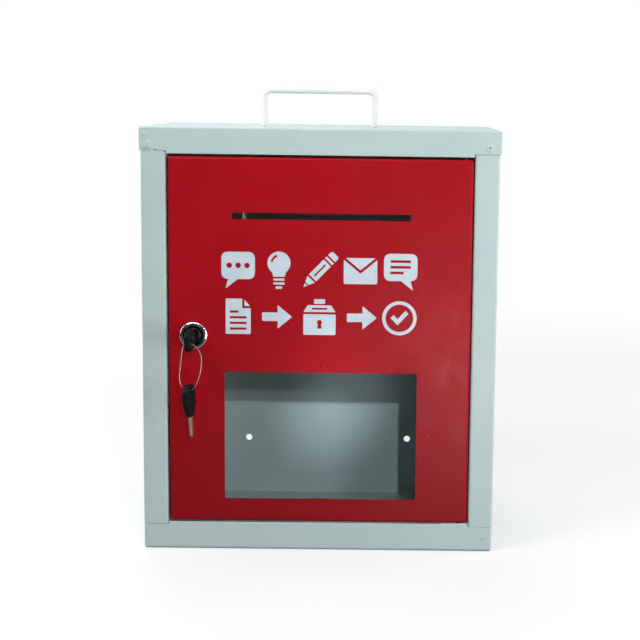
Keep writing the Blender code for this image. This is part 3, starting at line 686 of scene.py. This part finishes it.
# Small marks on the front: welding under the paint, nibs in the paint, and pits drawn as low dark dots whose
# dark colour is painted shade of a hollow.
# Their rims are sunk in the sheet, and their round outlines sway a little.
MARK_SINK = 0.00006
MARK_ROOT = 0.00040
MARK_SEGMENTS = 28
MARK_SWAY = 0.12
MARK_SWAY_SCALE = 1.3
MARK_SWAY_CHANGE = 90
DOME_SHARES = ((0, 1), (0.3, 0.93), (0.55, 0.70), (0.78, 0.33))
CRATER_SHARES = ((0, 0.04), (0.16, 0.08), (0.30, 0.85), (0.44, 1), (0.64, 0.48), (0.82, 0.13))


def mark_profile(shares, radius, height):
    """Points of (radius, height) from shares of both, out to the sunk rim."""
    return [(radius * out, height * up) for out, up in shares] + [(radius, -MARK_SINK)]


def dome(radius, height):
    return mark_profile(DOME_SHARES, radius, height)


def crater(radius, height):
    return mark_profile(CRATER_SHARES, radius, height)


def make_mark(name, across, up, profile, body, slot, surface):
    """Low round mark on the front, from the points of its profile."""
    drawing = bmesh.new()
    tip = drawing.verts.new((across, front_y - profile[0][1], up))
    rings = []
    for radius, height in profile[1:] + [(profile[-1][0], -MARK_ROOT)]:
        ring = []
        for index in range(MARK_SEGMENTS):
            angle = math.tau * index / MARK_SEGMENTS
            cosine = math.cos(angle)
            sine = math.sin(angle)
            spot = Vector((cosine * MARK_SWAY_SCALE, sine * MARK_SWAY_SCALE, across * MARK_SWAY_CHANGE))
            sway = 1 + MARK_SWAY * noise.noise(spot)
            place = (across + radius * sway * cosine, front_y - height, up + radius * sway * sine)
            ring.append(drawing.verts.new(place))
        rings.append(ring)
    for index in range(MARK_SEGMENTS):
        after = (index + 1) % MARK_SEGMENTS
        drawing.faces.new((tip, rings[0][index], rings[0][after]))
        for first, second in zip(rings, rings[1:]):
            drawing.faces.new((first[index], second[index], second[after], first[after]))
    drawing.faces.new(rings[-1])
    made = new_piece(name, drawing, materials[surface], body)
    made.data.shade_smooth()


# Body, slot and surface of the marks
ON_BODY = ("body", "body_paint", "body_paint")
ON_DOOR = ("door", "door_paint", "door_paint")
# Pits: dark dots whose colour is painted shade of a hollow
PAINTED_SHADE_PIT = ("body", "steel", "worn_seam")

# Places of the marks across and up the front, and their profiles
marks = {
    "seam_pit_left": (-0.1453, 0.3418, dome(0.0012, 0.00008), *PAINTED_SHADE_PIT),
    "seam_pit_right": (-0.1366, 0.3412, dome(0.0009, 0.00008), *PAINTED_SHADE_PIT),
    "weld_nub_top_right": (0.1398, 0.3454, crater(0.0044, 0.00070), *ON_BODY),
    "weld_pit_top_right": (0.1398, 0.3454, dome(0.0011, 0.00012), *PAINTED_SHADE_PIT),
    "weld_nub_lower_left": (-0.1408, 0.0173, crater(0.0026, 0.00050), *ON_BODY),
    "weld_nub_lower_right": (0.1405, 0.0124, crater(0.0024, 0.00050), *ON_BODY),
    "clip_weld_top": (0.0026, 0.1613, dome(0.0019, 0.00030), *ON_DOOR),
    "clip_weld_right": (0.0916, 0.1011, dome(0.0018, 0.00026), *ON_DOOR),
    "clip_weld_bottom": (0.0117, 0.0400, dome(0.0017, 0.00024), *ON_DOOR),
    "clip_weld_left": (-0.0849, 0.1056, dome(0.0017, 0.00024), *ON_DOOR),
    "paint_nib_upper": (0.1074, 0.3117, dome(0.0011, 0.00022), *ON_DOOR),
    "paint_nib_lower": (0.1085, 0.2934, dome(0.0009, 0.00018), *ON_DOOR),
}

# Corner weld, between two points (across, up) of the front: a patch on its left, a ridge along the seam.
# Lumps are (scale, layer, share), and fades are (reach, power).
WELD_LOW = (-0.1478, 0.3408)
WELD_HIGH = (-0.1300, 0.3578)
WELD_HEIGHT = 0.00100
WELD_SINK = MARK_SINK / 2
WELD_STEPS = 52
WELD_LUMPS = ((230, 0.0, 0.8), (520, 0.3, 0.2))
PATCH_BASE = 0.34
PATCH_SIDE_FADE = (1.75, 3)
PATCH_TOP_FADE = (1.08, 5)
RIDGE_BASE = 0.26
RIDGE_LUMPS = 0.8
RIDGE_MIDDLE = 0.10
RIDGE_WIDTH = 0.09
RIDGE_SIDE_FADE = (1.02, 6)
SIDE_SLOPE = 9
END_SLOPE = 14


def fading(share, fade):
    """Weight that starts at 1 and falls to 0 where the share times the fade's reach gets to 1."""
    reach, power = fade
    return max(0.0, 1 - (share * reach) ** power)


def weld_lift(right, up, across, height):
    """Height of the corner weld at shares of its width and rise."""
    lumps = 0.0
    for scale, layer, share in WELD_LUMPS:
        lumps += noise.noise(Vector((across, layer, height)) * scale) * share
    patch = fading(right, PATCH_SIDE_FADE) * fading(up, PATCH_TOP_FADE)
    ridge = math.exp(-((up - RIDGE_MIDDLE) / RIDGE_WIDTH) ** 2) * fading(right, RIDGE_SIDE_FADE)
    edge = min(1.0, SIDE_SLOPE * min(right, 1 - right), END_SLOPE * min(up, 1 - up))
    return WELD_HEIGHT * edge * (patch * (PATCH_BASE + lumps) + ridge * (RIDGE_BASE + RIDGE_LUMPS * lumps))


def make_corner_weld():
    """Lumpy ground weld under the paint at the upper left corner, with a ridge along the seam."""
    drawing = bmesh.new()
    width = WELD_HIGH[0] - WELD_LOW[0]
    rise = WELD_HIGH[1] - WELD_LOW[1]
    rows = []
    for row in range(WELD_STEPS + 1):
        line = []
        for column in range(WELD_STEPS + 1):
            right = column / WELD_STEPS
            up = row / WELD_STEPS
            across = WELD_LOW[0] + width * right
            height = WELD_LOW[1] + rise * up
            lift = weld_lift(right, up, across, height)
            line.append(drawing.verts.new((across, front_y + WELD_SINK - lift, height)))
        rows.append(line)
    for low_line, high_line in zip(rows, rows[1:]):
        for column in range(WELD_STEPS):
            after = column + 1
            drawing.faces.new((low_line[column], low_line[after], high_line[after], high_line[column]))
    border = list(rows[0])
    border += [line[-1] for line in rows[1:]]
    border += rows[-1][-2::-1]
    border += [line[0] for line in rows[-2:0:-1]]
    roots = [drawing.verts.new((point.co.x, front_y + MARK_ROOT, point.co.z)) for point in border]
    for index in range(len(border)):
        after = (index + 1) % len(border)
        drawing.faces.new((border[index], border[after], roots[after], roots[index]))
    drawing.faces.new(roots)
    new_piece("corner_weld", drawing, materials["body_paint"], "body").data.shade_smooth()


# Generic pictograms cut from white film; their outlines are in millimetres round each one's middle
FILM_THICKNESS = 0.00008
FILM_SINK = FILM_THICKNESS * 0.4
FILM_WELD = 0.000002
DISC_SEGMENTS = 48


def turned_points(points, degrees):
    angle = math.radians(degrees)
    cosine = math.cos(angle)
    sine = math.sin(angle)
    return [(across * cosine - up * sine, across * sine + up * cosine) for across, up in points]


def mirrored_points(points):
    return [(-across, up) for across, up in points]


def block_points(left, bottom, right, top):
    return [(left, bottom), (right, bottom), (right, top), (left, top)]


def arc_points(middle, radius, start, end, steps=24):
    points = []
    for step in range(steps + 1):
        angle = math.radians(start + (end - start) * step / steps)
        points.append((middle[0] + radius * math.cos(angle), middle[1] + radius * math.sin(angle)))
    return points


def disc_points(across, up, radius):
    last = 360 - 360 / DISC_SEGMENTS
    return arc_points((across, up), radius, start=0, end=last, steps=DISC_SEGMENTS - 1)


def soft_points(corners, radius, steps=6):
    """Closed outline with its corners rounded by short arcs; a radius of 0 keeps a corner sharp."""
    points = []
    count = len(corners)
    radii = radius if isinstance(radius, list) else [radius] * count
    for index, (corner, size) in enumerate(zip(corners, radii)):
        here = Vector(corner)
        if size == 0:
            points.append(tuple(here))
            continue
        back = (Vector(corners[index - 1]) - here).normalized() * size
        ahead = (Vector(corners[(index + 1) % count]) - here).normalized() * size
        for step in range(steps + 1):
            share = step / steps
            point = here + back * (1 - share) ** 2 + ahead * share ** 2
            points.append(tuple(point))
    return points


def bubble_outline():
    corners = [(-0.5, -8), (14, -8), (14, 15), (-14, 15), (-14, -8), (-8.5, -8), (-10.5, -16)]
    return soft_points(corners, [0, 6, 6, 6, 6, 0, 0.8])


def bulb_outlines():
    glass = arc_points((0, 6), 9.6, start=-52, end=232, steps=40) + [(-4.7, -5.6), (4.7, -5.6)]
    shine = arc_points((0, 6), 7.0, start=105, end=172, steps=12)
    shine += arc_points((0, 6), 5.2, start=172, end=105, steps=12)
    rings = [soft_points(block_points(-4.7, low, 4.7, low + 1.8), 0.8) for low in (-8.9, -12.2)]
    cap = soft_points(block_points(-2.8, -15.8, 2.8, -13.7), 0.9)
    return [glass, shine, *rings, cap]


def pencil_outlines():
    tip = [(-19.5, 0), (-16.4, -1.4), (-16.4, 1.4)]
    cone = [(-15.2, -1.9), (-10.2, -4.2), (-10.2, 4.2), (-15.2, 1.9)]
    shaft = block_points(-8.6, -4.2, 9.0, 4.2)
    stripe = block_points(-6.4, -0.7, 6.8, 0.7)
    collar = block_points(10.6, -4.2, 12.6, 4.2)
    rubber = soft_points(block_points(14.2, -4.2, 19.0, 4.2), [0, 2.4, 2.4, 0])
    return [turned_points(part, degrees=46) for part in (tip, cone, shaft, stripe, collar, rubber)]


def envelope_outlines():
    flap = [(-12.4, 11), (0, 0.6), (12.4, 11)]
    cover = [(-14, 9.6), (-14, -11), (14, -11), (14, 9.6), (0, -2.2)]
    return [soft_points(flap, [0.6, 0.6, 0.6]), soft_points(cover, [0.6, 1.4, 1.4, 0.6, 0.4])]


def page_outlines():
    page = [(-10.5, -15), (10.5, -15), (10.5, 7.0), (3.4, 7.0), (3.4, 15), (-10.5, 15)]
    corner = [(5.2, 14.2), (5.2, 8.8), (9.8, 8.8)]
    lines = [block_points(-7, low, 7, low + 1.9) for low in (-11.4, -6.6, -1.8)]
    lines.append(block_points(-7, 3.0, 0.4, 4.9))
    return [soft_points(page, [1.2, 1.2, 0, 0, 0, 1.2]), corner, *lines]


def arrow_outlines():
    arrow = [(-12, -3.6), (1.0, -3.6), (1.0, -10), (13, 0), (1.0, 10), (1.0, 3.6), (-12, 3.6)]
    return [soft_points(arrow, [0.8, 0, 0.8, 0.8, 0.8, 0, 0.8])]


def box_outlines():
    front = soft_points(block_points(-13.5, -15, 13.5, 2.6), 1.2)
    keyhole = arc_points((0, -4.4), 2.1, start=-50, end=230, steps=20) + [(-1.9, -9.6), (1.9, -9.6)]
    lid = soft_points([(-13.5, 4.4), (13.5, 4.4), (9.8, 10.2), (-9.8, 10.2)], 0.6)
    slot = block_points(-6.4, 6.4, 6.4, 8.0)
    slip = soft_points(block_points(-4.6, 11.4, 4.6, 15.4), [0, 0, 0.8, 0.8])
    return [front, keyhole, lid, slot, slip]


def tick_outlines():
    tick = [(-7.4, 0.2), (-4.8, 2.8), (-1.6, -0.8), (5.0, 6.4), (7.6, 3.8), (-1.6, -6.0)]
    return [disc_points(0, 0, 14.5), disc_points(0, 0, 11.6), tick]


def bubble_with_dots():
    return [bubble_outline()] + [disc_points(across, 3.6, 2.3) for across in (-7.4, 0, 7.4)]


def bubble_with_lines():
    lines = [block_points(-8.5, low, end, low + 2.2) for low, end in ((7.4, 8.5), (2.6, 8.5), (-2.2, 2.5))]
    return [mirrored_points(bubble_outline())] + lines


# Middle of each pictogram on the door, in millimetres, and its outlines
UPPER_ROW = 242
LOWER_ROW = 202.5
pictograms = {
    "bubble_with_dots": ((-68, UPPER_ROW), bubble_with_dots()),
    "light_bulb": ((-34, UPPER_ROW), bulb_outlines()),
    "pencil": ((0, UPPER_ROW), pencil_outlines()),
    "envelope": ((34, UPPER_ROW), envelope_outlines()),
    "bubble_with_lines": ((67.5, UPPER_ROW), bubble_with_lines()),
    "page": ((-68, LOWER_ROW), page_outlines()),
    "first_arrow": ((-36, LOWER_ROW), arrow_outlines()),
    "box_with_slot": ((0, LOWER_ROW), box_outlines()),
    "second_arrow": ((35, LOWER_ROW), arrow_outlines()),
    "tick_in_ring": ((67, LOWER_ROW), tick_outlines()),
}


def make_pictogram(name, middle, outlines):
    """Thin film cut along closed outlines; outlines inside others are holes."""
    curve = bpy.data.curves.new(name, "CURVE")
    curve.dimensions = "2D"
    curve.fill_mode = "BOTH"
    curve.extrude = FILM_THICKNESS / 2
    for outline in outlines:
        spline = curve.splines.new("POLY")
        spline.points.add(len(outline) - 1)
        for point, (across, up) in zip(spline.points, outline):
            point.co = ((middle[0] + across) * MM, (middle[1] + up) * MM, 0.0, 1.0)
        spline.use_cyclic_u = True
    drawn = bpy.data.objects.new(name + "_outline", curve)
    bpy.context.scene.collection.objects.link(drawn)
    flat = bpy.data.meshes.new_from_object(drawn.evaluated_get(bpy.context.evaluated_depsgraph_get()))
    drawing = bmesh.new()
    drawing.from_mesh(flat)
    bpy.data.objects.remove(drawn)
    bpy.data.curves.remove(curve)
    bpy.data.meshes.remove(flat)
    bmesh.ops.remove_doubles(drawing, verts=drawing.verts, dist=FILM_WELD)
    upright = Matrix.Rotation(math.pi / 2, 4, "X")
    drawing.transform(Matrix.Translation((0, front_y - FILM_SINK, 0)) @ upright)
    made = new_piece("film_" + name, drawing, materials["white_film"], "door")
    made.data.shade_flat()


make_lock_housing()
make_lock_nut()
make_pan_screw("cam_pan_screw", "cam_screw", (0, 1, 0), CAM_SCREW_HEAD, "lock_core")
make_pan_screw("handle_pan_screw_left", "handle_screw_left", (0, 0, -1), HANDLE_SCREW_HEAD, "body")
make_pan_screw("handle_pan_screw_right", "handle_screw_right", (0, 0, -1), HANDLE_SCREW_HEAD, "body")
make_corner_weld()
for name, values in marks.items():
    make_mark(name, *values)
for name, (middle, outlines) in pictograms.items():
    make_pictogram(name, middle, outlines)


# Tints of the lights
WHITE = (1.0, 1.0, 1.0, 1.0)
ROOM_TINT = (0.90, 0.96, 1.0, 1.0)
SKY_TINT = (0.79, 0.89, 1.0)
DAY_TINT = (0.95, 0.955, 1.0)

# World: its own light, what metal and glass mirror, and the directions where the mirrored room changes
WORLD_LIGHT = 0.045
ROOM_REFLECTED = 0.03
ROOM_FULL = -0.35
ROOM_END = 0.25
SKY_REFLECTED = 0.9
SKY_START = 0.45
SKY_FULL = 0.75

# Floor: its tone, what it bounces, and where these change towards the front and outwards
FLOOR_RADIUS = 3.0
FLOOR_SEGMENTS = 96
FLOOR_SEEN = 0.90
FLOOR_BOUNCE = 0.25
FLOOR_FRONT_BOUNCE = 0.04
FLOOR_DIM_START = -0.20
FLOOR_DIM_END = -0.60
FLOOR_WHITE_SHARE = 0.45
FLOOR_FADE_START = 0.35
FLOOR_FADE_END = 1.2

# Sizes of the lamps
FILL_SIZE = (0.45, 0.45)
WALL_SIZE = (0.80, 0.80)
BEAM_SOURCE_RADIUS = 0.02

# Points that the lamps stand at or turn to; the back wall's inner face lies a known distance behind the door
BACK_WALL_DISTANCE = 0.149
back_y = front_y + BACK_WALL_DISTANCE
window_corner = Vector((0.0824, front_y, 0.155))
front_middle = Vector((0.0, front_y, 0.20))
glare = Vector((0.115, front_y, 0.110))
sill_right = (0.10, front_y, 0.05)
top_middle = (0.0, 0.0, 0.30)
back_middle = (0.0, 0.075, 0.18)
wall_glow = Vector((0.000, back_y, 0.080))
band_glow = Vector((0.018, back_y, 0.100))


def make_floor():
    """Pale floor with the box's shadow, fading into the white background; what it bounces is dimmer."""
    drawing = bmesh.new()
    bmesh.ops.create_circle(drawing, cap_ends=True, segments=FLOOR_SEGMENTS, radius=FLOOR_RADIUS)
    mesh = bpy.data.meshes.new("floor")
    drawing.to_mesh(mesh)
    drawing.free()
    floor = bpy.data.objects.new("floor", mesh)
    bpy.context.scene.collection.objects.link(floor)
    material = bpy.data.materials.new("pale_floor")
    material.use_nodes = True
    material.node_tree.nodes.clear()
    made = Graph(material.node_tree)
    seen = made.seen()
    place = made.add("ShaderNodeTexCoord").outputs["Object"]
    front = made.axis(place, "Y")
    bounce = made.spread(
        front, FLOOR_DIM_END, FLOOR_DIM_START, FLOOR_FRONT_BOUNCE, FLOOR_BOUNCE, kind="SMOOTHSTEP"
    )
    surface = made.add("ShaderNodeBsdfDiffuse")
    made.join(made.mix(seen, bounce, (FLOOR_SEEN, FLOOR_SEEN, FLOOR_SEEN, 1.0)), surface.inputs["Color"])
    away = made.add("ShaderNodeVectorMath", operation="LENGTH")
    made.join(place, away.inputs[0])
    fade = made.spread(
        away.outputs["Value"], FLOOR_FADE_START, FLOOR_FADE_END, FLOOR_WHITE_SHARE, kind="SMOOTHSTEP"
    )
    white = made.add("ShaderNodeEmission").outputs["Emission"]
    blend = made.blend(made.result("MULTIPLY", fade, seen), surface.outputs["BSDF"], white)
    made.join(blend, made.add("ShaderNodeOutputMaterial").inputs["Surface"])
    floor.data.materials.append(material)


def make_world():
    """White background; what lights the box is a dimmer grey, darker towards the room in front of it."""
    world = bpy.data.worlds.new("studio")
    bpy.context.scene.world = world
    world.use_nodes = True
    world.node_tree.nodes.clear()
    made = Graph(world.node_tree)

    def background(strength, tint=WHITE):
        node = made.add("ShaderNodeBackground")
        node.inputs["Color"].default_value = tint
        node.inputs["Strength"].default_value = strength
        return node.outputs["Background"]

    way = made.add("ShaderNodeTexCoord").outputs["Generated"]
    behind = made.spread(made.axis(way, "Y"), ROOM_FULL, ROOM_END, kind="SMOOTHSTEP")
    overhead = made.spread(made.axis(way, "Z"), SKY_START, SKY_FULL, kind="SMOOTHSTEP")
    white = background(1.0)
    room = made.blend(behind, background(ROOM_REFLECTED, ROOM_TINT), white)
    mirrored = made.blend(overhead, room, background(SKY_REFLECTED))
    glossy = made.add("ShaderNodeLightPath").outputs["Is Glossy Ray"]
    lighting = made.blend(glossy, background(WORLD_LIGHT, ROOM_TINT), mirrored)
    result = made.blend(made.seen(), lighting, white)
    made.join(result, made.add("ShaderNodeOutputWorld").inputs["Surface"])


def aim(made, place, target):
    """Adds a lamp to the scene at a place, turned to a point."""
    made.location = place
    made.rotation_euler = (Vector(target) - Vector(place)).to_track_quat("-Z", "Y").to_euler()
    bpy.context.scene.collection.objects.link(made)


def make_lamp(name, place, target, size, power, tint=WHITE[:3], mirrored=True, spread=True):
    """Soft box, sized wide and high; it shows in mirror images, lights with spread light, or both."""
    lamp = bpy.data.lights.new(name, "AREA")
    lamp.shape = "RECTANGLE"
    lamp.size = size[0]
    lamp.size_y = size[1]
    lamp.energy = power
    lamp.color = tint
    made = bpy.data.objects.new(name, lamp)
    made.visible_camera = False
    made.visible_glossy = mirrored
    made.visible_diffuse = spread
    aim(made, place, target)


def make_beam(name, place, target, angle, power, tint):
    """Narrow soft-edged beam, with its angle in degrees."""
    lamp = bpy.data.lights.new(name, "SPOT")
    lamp.spot_size = math.radians(angle)
    lamp.spot_blend = 1.0
    lamp.shadow_soft_size = BEAM_SOURCE_RADIUS
    lamp.energy = power
    lamp.color = tint
    aim(bpy.data.objects.new(name, lamp), place, target)


def make_camera():
    """Camera at the photograph's view, from its focal length and middle of the view in pixels."""
    made = bpy.data.objects.new("camera", bpy.data.cameras.new("camera"))
    made.data.sensor_width = SENSOR_MM
    made.data.lens = FOCAL_PIXELS / FRAME_PIXELS * SENSOR_MM
    half = FRAME_PIXELS / 2
    made.data.shift_x = (half - CENTRE_PIXELS[0]) / FRAME_PIXELS
    made.data.shift_y = (CENTRE_PIXELS[1] - half) / FRAME_PIXELS
    turn = Matrix.Rotation(camera_yaw, 4, "Z")
    turn = turn @ Matrix.Rotation(math.pi / 2 - camera_pitch, 4, "X")
    turn = turn @ Matrix.Rotation(camera_roll, 4, "Z")
    made.matrix_world = Matrix.Translation(camera_place) @ turn
    made.data.clip_start = NEAREST_SEEN
    bpy.context.scene.collection.objects.link(made)
    bpy.context.scene.camera = made


def before_window(right_slope, up_slope, reach):
    """Place in front of the window's upper right corner, at these slopes to the right and up."""
    return window_corner + Vector((right_slope, -1.0, up_slope)) * reach


make_floor()
make_world()
make_camera()

# Main lights of the photograph, from the front; the key shows in no mirror image
key_place = before_window(right_slope=0.094, up_slope=0.431, reach=1.02)
side_place = before_window(right_slope=0.454, up_slope=0.355, reach=0.90)
make_lamp("key", key_place, front_middle, size=(0.012, 0.012), power=2.8, tint=DAY_TINT, mirrored=False)
make_lamp("side_right", side_place, front_middle, size=(0.16, 0.02), power=1.4, tint=DAY_TINT)

# Fill from the front; the low glow only makes the soft glare on the door's lower right
make_lamp("ceiling_middle", (0.0, -0.55, 1.00), front_middle, FILL_SIZE, power=1.8)
make_lamp("right_low", (0.95, -0.60, 0.30), front_middle, FILL_SIZE, power=3.8)
make_lamp("left_high", (-0.60, -0.50, 1.10), front_middle, FILL_SIZE, power=6.7)
make_lamp("low_glow", (0.19, -0.52, 0.012), glare, size=(0.16, 0.18), power=2.6, spread=False)
make_lamp("floor_right", (0.80, -0.50, 0.04), sill_right, size=(0.30, 0.06), power=1.4)

# Sides and back, mainly for the other views
make_lamp("behind", (-0.20, 0.70, 1.10), top_middle, WALL_SIZE, power=5.0)
make_lamp("behind_low", (-0.50, 1.20, 0.17), back_middle, size=(0.90, 0.20), power=6.0)
make_lamp("left", (-1.20, 0.15, 0.50), (-0.15, 0.0, 0.20), WALL_SIZE, power=7.0)
make_lamp("right", (1.20, 0.15, 0.60), (0.15, 0.0, 0.20), WALL_SIZE, power=7.0)

# Glow on the back wall inside the window
glow_place = before_window(right_slope=0.02, up_slope=0.44, reach=1.10)
sheen_place = before_window(right_slope=-0.02, up_slope=0.10, reach=1.20)
make_beam("through_window", glow_place, wall_glow, angle=4.9, power=24.0, tint=SKY_TINT)
make_beam("window_sheen", sheen_place, band_glow, angle=4.6, power=9.5, tint=SKY_TINT)

bpy.context.scene.view_settings.view_transform = "Standard"
